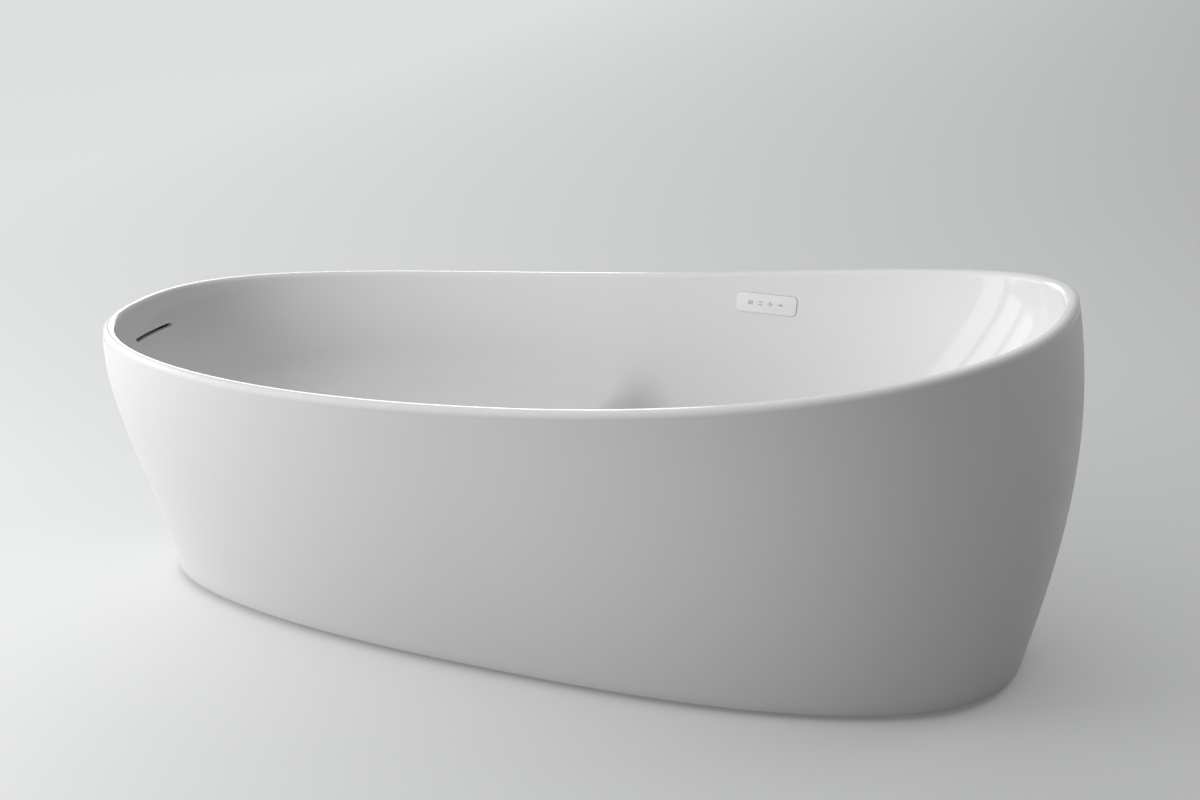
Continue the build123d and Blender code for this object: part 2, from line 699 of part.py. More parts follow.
# Brackets from the rails to the inside of the apron
bracket_z = FRAME_TOP - TUBE / 2
tab_core = wall_body(outside_sections(APRON + SEAT_GAP, 0))
with BuildPart() as apron_brackets:
    for x, side in bracket_places:
        rail_face = Plane((x, side * (RAIL_Y + TUBE / 2), bracket_z), x_dir=(1, 0, 0), z_dir=(0, side, 0))
        with BuildSketch(rail_face):
            Rectangle(BRACKET_WIDTH, TUBE)
            Circle(SCREW_RADIUS + SLIP, mode=Mode.SUBTRACT)
        extrude(amount=BRACKET_THICK)
        with BuildPart(mode=Mode.PRIVATE) as arm:
            with BuildSketch(rail_face.offset(BRACKET_THICK)):
                with Locations((0, -side * (TUBE / 2 - BRACKET_THICK / 2))):
                    Rectangle(BRACKET_WIDTH, BRACKET_THICK)
            extrude(amount=WIDTH / 2)
            add(bracket_core, mode=Mode.INTERSECT)
        add(arm.part)
        with BuildPart(mode=Mode.PRIVATE) as tab:
            with BuildSketch(rail_face.offset(100)):
                Rectangle(BRACKET_WIDTH, 2 * TUBE)
            extrude(amount=WIDTH / 2)
            add(tab_core, mode=Mode.INTERSECT)
            add(bracket_core, mode=Mode.SUBTRACT)
        add(tab.part)
save(apron_brackets, "apron_brackets")

with BuildPart() as bracket_screws:
    for x, side in bracket_places:
        head_face = Plane(
            (x, side * (RAIL_Y + TUBE / 2 + BRACKET_THICK), bracket_z), x_dir=(1, 0, 0), z_dir=(0, side, 0)
        )
        disc(head_face, 0, 3, 2 * SCREW_RADIUS)
        disc(head_face, -12, 0, SCREW_RADIUS)
save(bracket_screws, "bracket_screws")

# Suction and light in the riser: a ring in the well, a body through the wall, a nut behind
riser_normal = suction_seat.z_dir
behind = SHELL * (riser_normal.X + riser_normal.Z)
with BuildPart() as suction_grille:
    disc(suction_seat, SEAT_GAP, 5, FITTING_RING)
    fillet(suction_grille.edges().group_by(SortBy.LENGTH)[-1].sort_by(Axis.X)[-1], 2.5)
    with BuildSketch(suction_seat):
        with GridLocations(0, 8, 1, 7):
            SlotOverall(2 * SUCTION_RADIUS - 14, 4)
    extrude(amount=6, mode=Mode.SUBTRACT)
save(suction_grille, "suction_grille")

with BuildPart() as suction_body:
    disc(suction_seat, -60, SEAT_GAP, SUCTION_RADIUS)
    bore(suction_seat, -35, SEAT_GAP, SUCTION_RADIUS - BODY_WALL)
    bore(suction_seat, -60, -35, WATER_PIPE + SLIP)
save(suction_body, "suction_body")

with BuildPart() as light_ring:
    disc(light_seat, SEAT_GAP, 5, FITTING_RING, LIGHT_RADIUS - BODY_WALL)
    fillet(light_ring.edges().sort_by(SortBy.LENGTH)[-2:].sort_by(Axis.X)[-1], 2.5)
save(light_ring, "light_ring")

with BuildPart() as light_lens:
    disc(light_seat, -2, 3, LIGHT_RADIUS - BODY_WALL - SLIP)
save(light_lens, "light_lens")

with BuildPart() as light_body:
    disc(light_seat, -40, SEAT_GAP, LIGHT_RADIUS)
    bore(light_seat, -2, SEAT_GAP, LIGHT_RADIUS - BODY_WALL)
    bore(light_seat, -34, 0, LIGHT_RADIUS - 2 * BODY_WALL)
save(light_body, "light_body")

with BuildPart() as wall_seals:
    for seat, radius in ((suction_seat, SUCTION_RADIUS), (light_seat, LIGHT_RADIUS)):
        disc(seat, -behind - SEAL, -behind, radius + 10, radius + SLIP)
save(wall_seals, "wall_seals")

with BuildPart() as back_nuts:
    for seat, radius in ((suction_seat, SUCTION_RADIUS), (light_seat, LIGHT_RADIUS)):
        with BuildSketch(seat.offset(-behind - SEAL - 8)):
            RegularPolygon(radius + 10, 8, major_radius=False)
            Circle(radius + SLIP, mode=Mode.SUBTRACT)
        extrude(amount=8)
save(back_nuts, "back_nuts")

# Lumbar jets in the backrest, joined by a header pipe
tee_depth = 52
with BuildPart() as jet_rings:
    for seat in jet_seats:
        disc(seat, -6, 3.5, JET_RING, 7)
    add(wall_body(inside_sections(-SEAT_GAP)), mode=Mode.INTERSECT)
    for seat in jet_seats:
        disc(seat, -8, 0, JET_RADIUS - BODY_WALL - SLIP, 7)
save(jet_rings, "jet_rings")

tee_x = jet_seats[1].origin.X - tee_depth * jet_seats[1].z_dir.X
tee_y = jet_seats[1].origin.Y - tee_depth * jet_seats[1].z_dir.Y
tee_z = jet_seats[1].origin.Z - tee_depth * jet_seats[1].z_dir.Z
tee_half = WATER_PIPE + 12
with BuildPart() as jet_bodies:
    for side, seat in zip((-1, 1), jet_seats):
        across = Plane((tee_x, side * tee_y, tee_z), x_dir=(1, 0, 0), z_dir=(0, side, 0))
        disc(seat, -tee_depth, 0, JET_RADIUS)
        disc(across, -tee_half, tee_half, WATER_PIPE + BODY_WALL)
        bore(seat, -tee_depth, 0, JET_RADIUS - BODY_WALL)
        bore(across, -tee_half, tee_half - 3 if side > 0 else tee_half, WATER_PIPE - PIPE_WALL)
        bore(across, -tee_half, -tee_half + 15, WATER_PIPE + SLIP)
        if side < 0:
            bore(across, tee_half - 15, tee_half, WATER_PIPE + SLIP)
save(jet_bodies, "jet_bodies")

header_end = tee_y - tee_half + 12
header_pipe = pipe(
    [(tee_x, -header_end, tee_z), (tee_x, header_end, tee_z)], None, WATER_PIPE, PIPE_WALL
)
save(header_pipe, "header_pipe")

# Pump under the leg platform, on a tray across the rails
pump_y = -FITTING_Y
pump_axis = Plane((PUMP_X, pump_y, PUMP_Z), x_dir=(0, 1, 0), z_dir=(-1, 0, 0))
outlet_axis = Plane(
    (PUMP_X - VOLUTE_WIDE / 2, pump_y, PUMP_Z + VOLUTE_RADIUS - WATER_PIPE - 5),
    x_dir=(1, 0, 0),
    z_dir=(0, -1, 0),
)
outlet_reach = VOLUTE_RADIUS + 24
with BuildPart() as pump_volute:
    disc(pump_axis, 0, VOLUTE_WIDE, VOLUTE_RADIUS)
    fillet(pump_volute.edges().sort_by(Axis.X)[-1], 10)
    disc(pump_axis, -35, 0, WATER_PIPE + 5)
    disc(outlet_axis, 0, outlet_reach, WATER_PIPE + 3.5)
    bore(pump_axis, VOLUTE_WALL, VOLUTE_WIDE, VOLUTE_RADIUS - VOLUTE_WALL - 4)
    bore(pump_axis, -35, VOLUTE_WIDE, WATER_PIPE - PIPE_WALL)
    bore(pump_axis, -35, -12, WATER_PIPE + SLIP)
    bore(outlet_axis, 0, outlet_reach, WATER_PIPE - PIPE_WALL)
    bore(outlet_axis, outlet_reach - 20, outlet_reach, WATER_PIPE + SLIP)
save(pump_volute, "pump_volute")

plate_back = VOLUTE_WIDE + 6
with BuildPart() as pump_backplate:
    disc(pump_axis, VOLUTE_WIDE, plate_back, VOLUTE_RADIUS, SHAFT_RADIUS + SHAFT_PLAY)
save(pump_backplate, "pump_backplate")

with BuildPart() as pump_motor:
    disc(pump_axis, plate_back, plate_back + MOTOR_LENGTH, MOTOR_RADIUS)
    with BuildSketch(pump_axis.offset(plate_back + 15)):
        with PolarLocations(MOTOR_RADIUS, 14, start_angle=155, angular_range=230):
            Rectangle(8, 4)
    extrude(amount=MOTOR_LENGTH - 30)
    bore(pump_axis, plate_back, plate_back + MOTOR_LENGTH - 8, SHAFT_RADIUS + SHAFT_PLAY)
save(pump_motor, "pump_motor")

with BuildPart() as fan_cover:
    disc(pump_axis, plate_back + MOTOR_LENGTH, plate_back + MOTOR_LENGTH + 26, MOTOR_RADIUS - 2)
    fillet(fan_cover.edges().sort_by(Axis.X)[0], 8)
save(fan_cover, "fan_cover")

blade_low = VOLUTE_WALL + 6
with BuildPart() as pump_impeller:
    disc(pump_axis, blade_low + 18, blade_low + 22, IMPELLER_RADIUS)
    disc(pump_axis, blade_low, blade_low + 18, SHAFT_RADIUS + 6)
    for blade in range(IMPELLER_BLADES):
        with BuildSketch(pump_axis.offset(blade_low + 18)):
            with BuildLine():
                turn = 2 * pi * blade / IMPELLER_BLADES
                root = (SHAFT_RADIUS + 5) * cos(turn), (SHAFT_RADIUS + 5) * sin(turn)
                tip_turn = turn + radians(50)
                tip = IMPELLER_RADIUS * cos(tip_turn), IMPELLER_RADIUS * sin(tip_turn)
                mid = 34 * cos(turn + radians(14)), 34 * sin(turn + radians(14))
                ThreePointArc(root, mid, tip)
            trace(line_width=3)
        extrude(amount=-18)
    bore(pump_axis, 0, plate_back, SHAFT_RADIUS)
save(pump_impeller, "pump_impeller")

with BuildPart() as pump_shaft:
    disc(pump_axis, blade_low, plate_back + MOTOR_LENGTH - 12, SHAFT_RADIUS)
save(pump_shaft, "pump_shaft")

pump_tray_back = PUMP_X - plate_back - MOTOR_LENGTH - 40
pump_tray_front = CROSS_TUBES[2] + TUBE / 2
with BuildPart() as pump_tray:
    with BuildSketch(Plane.XY.offset(FRAME_TOP)):
        with Locations(((pump_tray_back + pump_tray_front) / 2, 0)):
            Rectangle(pump_tray_front - pump_tray_back, 2 * (RAIL_Y + TUBE / 2))
        with Locations(*[(x, side * RAIL_Y) for x in UPRIGHT_X for side in (-1, 1)]):
            Rectangle(TUBE + 2, TUBE + 2, mode=Mode.SUBTRACT)
    extrude(amount=TRAY_PLATE)
save(pump_tray, "pump_tray")

saddle_x = PUMP_X - plate_back - MOTOR_LENGTH / 2
with BuildPart() as pump_saddle:
    with BuildSketch(Plane.XY.offset(FRAME_TOP + TRAY_PLATE)):
        with Locations((saddle_x, pump_y)):
            Rectangle(MOTOR_LENGTH - 60, 1.3 * MOTOR_RADIUS)
    extrude(amount=PUMP_Z - FRAME_TOP - TRAY_PLATE - MOTOR_RADIUS / 2)
    bore(pump_axis, plate_back, plate_back + MOTOR_LENGTH, MOTOR_RADIUS + SEAT_GAP)
save(pump_saddle, "pump_saddle")

# Pipes between the riser, the pump and the jets
drop_x = PUMP_X + 90
reach_back = (suction_seat.origin.X - drop_x) / suction_seat.z_dir.X
suction_pipe = pipe(
    [
        suction_seat.origin - suction_seat.z_dir * 38,
        suction_seat.origin - suction_seat.z_dir * reach_back,
        (drop_x, pump_y, PUMP_Z),
        (PUMP_X + 13, pump_y, PUMP_Z),
    ],
    [38, 38],
    WATER_PIPE,
    PIPE_WALL,
)
save(suction_pipe, "suction_pipe")

outlet = outlet_axis.origin
run_z = FRAME_TOP + 50
run_y = wall_at(run_z)[2] - APRON - WATER_PIPE - 28
pressure_pipe = pipe(
    [
        (outlet.X, pump_y - outlet_reach + 18, outlet.Z),
        (outlet.X, -run_y, outlet.Z),
        (outlet.X + 110, -run_y, run_z),
        (FOOT_X[-1], -run_y, run_z),
        (tee_x, -tee_y - 130, tee_z),
        (tee_x, -tee_y - tee_half + 12, tee_z),
    ],
    [50, 60, 150, 70],
    WATER_PIPE,
    PIPE_WALL,
)
save(pressure_pipe, "pressure_pipe")

# Control box on the same tray
box_long, box_wide, box_tall = CONTROL_BOX
box_plane = Plane((CONTROL_BOX_X, FITTING_Y, FRAME_TOP + TRAY_PLATE))
with BuildPart() as control_box:
    with BuildSketch(box_plane):
        RectangleRounded(box_long, box_wide, 8)
    extrude(amount=box_tall)
    with BuildSketch(box_plane.offset(BODY_WALL)):
        RectangleRounded(box_long - 2 * BODY_WALL, box_wide - 2 * BODY_WALL, 6)
        with GridLocations(box_long - 18, box_wide - 18, 2, 2):
            Circle(6, mode=Mode.SUBTRACT)
    extrude(amount=box_tall, mode=Mode.SUBTRACT)
    with BuildSketch(box_plane.offset(box_tall - 20)):
        with GridLocations(box_long - 18, box_wide - 18, 2, 2):
            Circle(SCREW_RADIUS + SLIP)
    extrude(amount=30, mode=Mode.SUBTRACT)
save(control_box, "control_box")

with BuildPart() as control_box_lid:
    with BuildSketch(box_plane.offset(box_tall)):
        RectangleRounded(box_long, box_wide, 8)
        with GridLocations(box_long - 18, box_wide - 18, 2, 2):
            Circle(SCREW_RADIUS + SLIP, mode=Mode.SUBTRACT)
    extrude(amount=5)
save(control_box_lid, "control_box_lid")

with BuildPart() as lid_screws:
    with BuildSketch(box_plane.offset(box_tall + 5)):
        with GridLocations(box_long - 18, box_wide - 18, 2, 2):
            Circle(2 * SCREW_RADIUS - 0.5)
    extrude(amount=2.5)
    with BuildSketch(box_plane.offset(box_tall + 5)):
        with GridLocations(box_long - 18, box_wide - 18, 2, 2):
            Circle(SCREW_RADIUS)
    extrude(amount=-20)
save(lid_screws, "lid_screws")
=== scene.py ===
# %% [markdown]
# # An oval bathtub
#
# The tub has two large mouldings: a glossy basin with a rounded lip, and a satin outer
# wall that hangs below the lip. Both are smooth all round, so a facet or a ripple would
# show at once in their reflections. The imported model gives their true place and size, and
# this notebook builds dense, evenly woven surfaces on the same curves. The small fittings
# come after them, then the finishes, the light and the camera.

import json
from math import cos, pi, radians, sin

import bmesh
import bpy
import numpy as np
from mathutils import Matrix, Vector


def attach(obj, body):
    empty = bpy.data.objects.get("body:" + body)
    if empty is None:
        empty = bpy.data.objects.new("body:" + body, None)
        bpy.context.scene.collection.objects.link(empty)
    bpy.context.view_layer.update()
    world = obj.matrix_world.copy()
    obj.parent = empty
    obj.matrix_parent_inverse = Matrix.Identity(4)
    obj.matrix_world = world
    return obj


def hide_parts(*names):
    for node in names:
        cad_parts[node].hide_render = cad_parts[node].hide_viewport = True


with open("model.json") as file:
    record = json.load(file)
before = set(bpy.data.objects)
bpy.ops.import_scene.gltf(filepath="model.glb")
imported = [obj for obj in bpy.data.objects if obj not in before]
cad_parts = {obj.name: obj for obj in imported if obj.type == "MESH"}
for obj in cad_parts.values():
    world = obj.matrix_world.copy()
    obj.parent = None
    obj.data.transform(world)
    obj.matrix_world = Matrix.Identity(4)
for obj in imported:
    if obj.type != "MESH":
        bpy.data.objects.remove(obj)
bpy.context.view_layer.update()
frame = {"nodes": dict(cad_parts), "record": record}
bpy.ops.object.select_all(action="DESELECT")

# %% [markdown]
# ## The curves of the tub
#
# A moulding like this is drawn as level outlines, one above another. Each outline is a
# superellipse, between an oval and a rectangle, and a little wider at the head. How far it
# reaches to the head, to the foot and to each side changes smoothly with the height. The
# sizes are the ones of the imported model, in millimetres, so the new surfaces fall on it.

# %% Outline at any height
LENGTH, WIDTH, HEIGHT, SKIRT_GAP = 2200, 1050, 790, 14
POWER = 2.45
LEVELS = np.array([14, 0.253 * HEIGHT, 0.506 * HEIGHT, 0.759 * HEIGHT, 1.038 * HEIGHT])
TUCKS = np.array(
    [
        (89, 110, 151, 0.155),
        (43, 76, 87, 0.126),
        (9, 21, 41, 0.096),
        (1, 4, 10, 0.065),
        (29, 152, -36, 0.031),
    ]
)


def reaches(height):
    """How far the outer wall reaches to head, foot and side, and its egg."""
    total = 0
    for own in range(5):
        weight = np.ones_like(height)
        for other in range(5):
            if other != own:
                weight = weight * (height - LEVELS[other]) / (LEVELS[own] - LEVELS[other])
        total = total + weight[..., None] * TUCKS[own]
    head, foot, side, egg = np.moveaxis(total, -1, 0)
    return LENGTH / 2 - head, LENGTH / 2 - foot, WIDTH / 2 - side, egg


def outline(turn, height, head, foot, side, egg):
    """Points at turns around the outline, at their heights."""
    u, v = np.cos(turn), np.sin(turn)
    reach = (np.abs(u) ** POWER + np.abs(v) ** POWER) ** (-1 / POWER)
    along, across = reach * u, reach * v
    x = (head - foot) / 2 + (head + foot) / 2 * along
    return np.stack([x, side * across * (1 + egg * along), height], axis=-1)


def outer_wall(turn, height):
    return outline(turn, height, *reaches(height))


print("outer wall at mid height", outer_wall(np.array([0, pi / 2, pi]), np.full(3, 400.0)))

# %% [markdown]
# ## The bather's side
#
# Inside, each wall starts upright at the lip and bends to its own slope: gently for the
# backrest, more at the foot, hardly at all at the sides. The lip is a flat band between two
# quarter rounds, and its height follows one long curve that rises to the head.

# %% Inner wall, rim line and normals
LIP_WIDTH, LIP_ROUND, RIM_BAND, SHELL, APRON = 28, 12, 20, 10, 9
RIM = (629, 606, 646, 797)
SIDE_LEAN_START = 700
HEAD_LEAN, FOOT_LEAN, SIDE_LEAN = (0.8, 150), (1.6, 200), (0.3, 300)


def lean(depth, slope, bend):
    """How far a wall has leaned in at a depth, after a bend, at its slope."""
    return slope * (np.hypot(np.maximum(depth, 0), bend) - bend)


def inner_wall(turn, height):
    head, foot, side, egg = reaches(height)
    head = head - LIP_WIDTH - lean(HEIGHT + 10 - height, *HEAD_LEAN)
    foot = foot - LIP_WIDTH - lean(RIM[0] - height, *FOOT_LEAN)
    side = side - LIP_WIDTH - lean(SIDE_LEAN_START - height, *SIDE_LEAN)
    return outline(turn, height, head, foot, side, egg)


def rim_height(x):
    s = x / LENGTH + 0.5
    a, b, c, d = RIM
    return a * (1 - s) ** 3 + 3 * b * (1 - s) ** 2 * s + 3 * c * (1 - s) * s**2 + d * s**3


def unit(vectors):
    return vectors / np.linalg.norm(vectors, axis=-1, keepdims=True)


def outward(wall, turn, height):
    """The wall's normal, away from the middle of the tub."""
    around = wall(turn + 1e-4, height) - wall(turn - 1e-4, height)
    upward = wall(turn, height + 0.05) - wall(turn, height - 0.05)
    return unit(np.cross(around, upward))


def solve(low, high, test):
    """Heights between low and high at which a rising test crosses zero."""
    low, high = np.array(low, float), np.array(high, float)
    for _ in range(46):
        middle = (low + high) / 2
        above = test(middle) > 0
        high = np.where(above, middle, high)
        low = np.where(above, low, middle)
    return (low + high) / 2


def rim_normal(x):
    slope = (rim_height(x + 0.5) - rim_height(x - 0.5)) / 1.0
    return unit(np.stack([-slope, np.zeros_like(slope), np.ones_like(slope)], axis=-1))


print("rim at foot, middle and head", rim_height(np.array([-1100.0, 0.0, 1100.0])))

# %% [markdown]
# ## The floor of the bath
#
# Seen from the side, the bottom is one line: the leg platform falls gently to the knee,
# the riser drops behind the calves, and a hollow curve leads to the floor of the well.
# The line is kept as a fine run of points with the distance along it, so that any piece of
# the bottom can be placed by how far along the line it lies.

# %% Profile of the bottom
KNEE, HEEL = np.array([8.0, 385.0]), np.array([43.0, 125.0])
KNEE_ROUND, HEEL_ROUND, COVE = 45, 130, 120
FALL = 20 / (LENGTH / 2 + KNEE[0])
flat_normal = unit(np.array([FALL, 1.0]))
riser_normal = unit(np.array([KNEE[1] - HEEL[1], HEEL[0] - KNEE[0]]))
floor_normal = np.array([0.0, 1.0])


def corner_centre(corner, first, second, offset):
    """The point at an offset from both lines through a corner."""
    return np.linalg.solve(
        np.array([first, second]),
        np.array([first @ corner + offset, second @ corner + offset]),
    )


knee_centre = corner_centre(KNEE, flat_normal, riser_normal, -KNEE_ROUND)
heel_centre = corner_centre(HEEL, riser_normal, floor_normal, HEEL_ROUND)


def in_wedge(point, centre, first, second):
    share = np.linalg.inv(np.stack([first, second], axis=-1)) @ (point - centre)[..., None]
    return (share[..., 0, 0] >= 0) & (share[..., 1, 0] >= 0)


def above_bottom(x, z):
    """Distance of points above the profile of the bottom."""
    point = np.stack([x, z], axis=-1)
    over_flat = (point - KNEE) @ flat_normal
    off_riser = (point - KNEE) @ riser_normal
    over_floor = z - HEEL[1]
    distance = np.minimum(np.maximum(over_flat, off_riser), over_floor)
    from_knee = np.linalg.norm(point - knee_centre, axis=-1) - KNEE_ROUND
    at_knee = in_wedge(point, knee_centre, flat_normal, riser_normal)
    distance = np.where(at_knee, np.minimum(from_knee, over_floor), distance)
    from_heel = HEEL_ROUND - np.linalg.norm(point - heel_centre, axis=-1)
    at_heel = in_wedge(point, heel_centre, -riser_normal, -floor_normal)
    return np.where(at_heel, from_heel, distance)


def bottom_normal(x, z):
    across = above_bottom(x + 0.01, z) - above_bottom(x - 0.01, z)
    upward = above_bottom(x, z + 0.01) - above_bottom(x, z - 0.01)
    return unit(np.stack([across, np.zeros_like(across), upward], axis=-1))


def arc(centre, start, end, radius, steps=400):
    first, last = np.arctan2(*start[::-1]), np.arctan2(*end[::-1])
    turn = np.linspace(first, last, steps)
    return centre + radius * np.stack([np.cos(turn), np.sin(turn)], axis=-1)


def straight(start, end, steps=4000):
    return start + (end - start) * np.linspace(0, 1, steps)[:, None]


knee_arc = arc(knee_centre, flat_normal, riser_normal, KNEE_ROUND)
heel_arc = arc(heel_centre, -riser_normal, -floor_normal, HEEL_ROUND)
line = np.concatenate(
    [
        straight(KNEE + 1400 * np.array([-1, FALL]), knee_arc[0]),
        knee_arc[1:],
        straight(knee_arc[-1], heel_arc[0])[1:],
        heel_arc[1:],
        straight(heel_arc[-1], np.array([1200.0, HEEL[1]]))[1:],
    ]
)
line_way = np.concatenate([[0], np.cumsum(np.linalg.norm(np.diff(line, axis=0), axis=1))])


def way_at(x, z):
    """How far along the profile a point on it lies."""
    return np.interp(x - z, line[:, 0] - line[:, 1], line_way)


def on_bottom(way, y):
    x, z = np.interp(way, line_way, line[:, 0]), np.interp(way, line_way, line[:, 1])
    return np.stack([x, y, z], axis=-1)


print("profile length", line_way[-1], "knee", knee_arc[0], "heel", heel_arc[-1])

# %% [markdown]
# ## Where the walls meet the bottom
#
# A ball that rolls along the corner between wall and bottom leaves the cove behind. Its
# centre is found at many turns: a ball's radius in from the wall and as far above the
# bottom. The weave of the mesh is then spread evenly along this corner, so that it is dense
# where the corner drops down the riser, and evenly along the lip.

# %% Path of the rolling ball
AROUND = 384
fine_turn = np.linspace(0, 2 * pi, 12001)


def ball_centre(turn, height):
    return inner_wall(turn, height) - COVE * outward(inner_wall, turn, height)


def over_cove(turn, height):
    ball = ball_centre(turn, height)
    return above_bottom(ball[..., 0], ball[..., 2]) - COVE


corner_height = solve(
    np.full_like(fine_turn, 130.0),
    np.full_like(fine_turn, 640.0),
    lambda height: over_cove(fine_turn, height),
)


def evenly(turn, points):
    """Turns that lie evenly along a closed run of points."""
    lengths = np.linalg.norm(np.diff(points, axis=0), axis=1)
    way = np.concatenate([[0], np.cumsum(lengths)])
    return np.interp(np.linspace(0, way[-1], AROUND + 1)[:-1], way, turn)


fine_ball = ball_centre(fine_turn, corner_height)
fine_foot = fine_ball - COVE * bottom_normal(fine_ball[:, 0], fine_ball[:, 2])
fine_wall = inner_wall(fine_turn, corner_height)
corner_turn = evenly(fine_turn, (fine_foot + fine_wall) / 2)


def lip_ball(wall, side, turn, height):
    """Centre of the ball that rounds the lip, touching a wall at a height."""
    return wall(turn, height) + side * LIP_ROUND * outward(wall, turn, height)


def lip_contact(wall, side, turn):
    """Height at which the lip's round leaves a wall; side is -1 outside, 1 inside."""

    def test(height):
        ball = lip_ball(wall, side, turn, height)
        drop = (rim_height(ball[..., 0]) - ball[..., 2]) * rim_normal(ball[..., 0])[..., 2]
        return LIP_ROUND - drop

    return solve(np.full_like(turn, 500.0), np.full_like(turn, 830.0), test)


fine_lip = inner_wall(fine_turn, lip_contact(inner_wall, 1, fine_turn))
lip_turn = evenly(fine_turn, fine_lip)
print("corner heights", corner_height.min(), corner_height.max(), "around", AROUND)

# %% [markdown]
# ## Rings for the basin
#
# Every ring has the same number of points, so each can be grown from the one before it.
# The rings run from the middle of the bottom, out to the cove, up the wall, over the lip,
# down the short outer band, and back down the underside, which keeps one wall thickness
# from the bather's side. So the basin is one closed shell, as the moulding is.

# %% Rings of points
BOTTOM_RINGS, COVE_RINGS, WALL_RINGS, ROUND_RINGS = 16, 12, 26, 6


def between(first, second, share):
    """Directions from one to another at a constant rate of turning."""
    angle = np.arccos(np.clip(np.sum(first * second, axis=-1, keepdims=True), -1, 1))
    return (np.sin((1 - share) * angle) * first + np.sin(share * angle) * second) / np.sin(
        angle
    )


corner_z = np.interp(corner_turn, fine_turn, corner_height)
ball = ball_centre(corner_turn, corner_z)
to_wall = outward(inner_wall, corner_turn, corner_z)
to_bottom = -bottom_normal(ball[:, 0], ball[:, 2])
foot = ball + COVE * to_bottom
foot_way = way_at(foot[:, 0], foot[:, 2])
spine_way = np.clip(foot_way, way_at(-600.0, 396.0), way_at(290.0, 125.0))
lip_z = lip_contact(inner_wall, 1, lip_turn)


def bottom_ring(share, below):
    way = spine_way + share * (foot_way - spine_way)
    points = on_bottom(way, share * foot[:, 1])
    lift = on_bottom(way + 0.5, share * foot[:, 1]) - on_bottom(way - 0.5, share * foot[:, 1])
    normal = unit(np.stack([-lift[:, 2], 0 * lift[:, 1], lift[:, 0]], axis=-1))
    return points - below * normal


def cove_ring(share, below):
    return ball + (COVE + below) * between(to_bottom, to_wall, share)


def wall_ring(share, below):
    turn = corner_turn + share * (lip_turn - corner_turn)
    height = corner_z + share * (lip_z - corner_z)
    return inner_wall(turn, height) + below * outward(inner_wall, turn, height)


def round_ring(wall, side, turn, share):
    height = lip_contact(wall, side, turn)
    centre = lip_ball(wall, side, turn, height)
    return centre + LIP_ROUND * between(
        -side * outward(wall, turn, height), rim_normal(centre[:, 0]), share
    )


def below_rim(drop):
    """Heights on the outer wall at a drop below the rim line."""
    return solve(
        np.full_like(lip_turn, 500.0),
        np.full_like(lip_turn, 830.0),
        lambda height: height + drop - rim_height(outer_wall(lip_turn, height)[:, 0]),
    )


def steps(count, first=0.0, last=1.0):
    return np.linspace(first, last, count)


bather_rings = [bottom_ring(share, 0) for share in steps(BOTTOM_RINGS)]
bather_rings += [cove_ring(share, 0) for share in steps(COVE_RINGS + 1)[1:]]
bather_rings += [wall_ring(share, 0) for share in steps(WALL_RINGS + 1)[1:]]
around_lip = steps(ROUND_RINGS + 1)
bather_rings += [round_ring(inner_wall, 1, lip_turn, share) for share in around_lip[1:]]
bather_rings += [round_ring(outer_wall, -1, lip_turn, share) for share in around_lip[::-1]]
contact_z = lip_contact(outer_wall, -1, lip_turn)
band_z = below_rim(RIM_BAND)
band_rings = [outer_wall(lip_turn, contact_z + s * (band_z - contact_z)) for s in (0.5, 1.0)]
under_rings = [wall_ring(share, SHELL) for share in steps(9, 0.93, 0.0)]
under_rings += [cove_ring(share, SHELL) for share in steps(7)[::-1][1:]]
under_rings += [bottom_ring(share, SHELL) for share in steps(8)[::-1][1:]]
print("basin rings", len(bather_rings) + len(band_rings) + len(under_rings))

# %% [markdown]
# ## Growing a skin from rings
#
# A circle primitive is the first ring. It is extruded once for each further ring, and the
# new points are moved to their places on the curves. A number kept on each point says
# which place around the ring it has; an extrusion copies it, so it never gets lost.


# %% Circle, extrude, place
def mm(points):
    return np.asarray(points) / 1000


def grow_skin(name, rings):
    """A surface woven through closed rings of points, in millimetres."""
    bpy.ops.object.select_all(action="DESELECT")
    bpy.ops.mesh.primitive_circle_add(vertices=len(rings[0]), radius=1)
    piece = bpy.context.object
    piece.name = piece.data.name = name
    bpy.ops.object.mode_set(mode="EDIT")
    mesh = bmesh.from_edit_mesh(piece.data)
    spot = mesh.verts.layers.int.new("spot")
    for number, vert in enumerate(sorted(mesh.verts, key=lambda vert: vert.index)):
        vert[spot] = number
    for count, ring in enumerate(rings):
        if count:
            bpy.ops.mesh.extrude_region_move()
            mesh = bmesh.from_edit_mesh(piece.data)
            spot = mesh.verts.layers.int["spot"]
        places = mm(ring)
        for vert in mesh.verts:
            if vert.select:
                vert.co = places[vert[spot]]
        bmesh.update_edit_mesh(piece.data)
    bpy.ops.mesh.select_all(action="SELECT")
    bpy.ops.mesh.remove_doubles(threshold=0.00002)
    bpy.ops.mesh.normals_make_consistent(inside=False)
    bpy.ops.object.mode_set(mode="OBJECT")
    return piece


basin = grow_skin("basin_shell", bather_rings + band_rings + under_rings)
print(basin.name, len(basin.data.vertices), "points", len(basin.data.polygons), "faces")

# %% [markdown]
# ## The outer wall
#
# The outer wall is one thin moulding, open below. It starts a finger's width above the
# floor, where its edge is softened, swells out, and ends under the lip's band. Its inside
# keeps the same thickness.

# %% Outer wall
EDGE_ROUND = 3
skirt = np.full_like(lip_turn, float(SKIRT_GAP))


def apron_ring(height, inset):
    return outer_wall(lip_turn, height) - inset * outward(outer_wall, lip_turn, height)


def soft_edge(share):
    turn = share * pi / 2
    rise, inset = EDGE_ROUND * (1 - sin(turn)), EDGE_ROUND * (1 - cos(turn))
    return apron_ring(skirt + rise, inset)


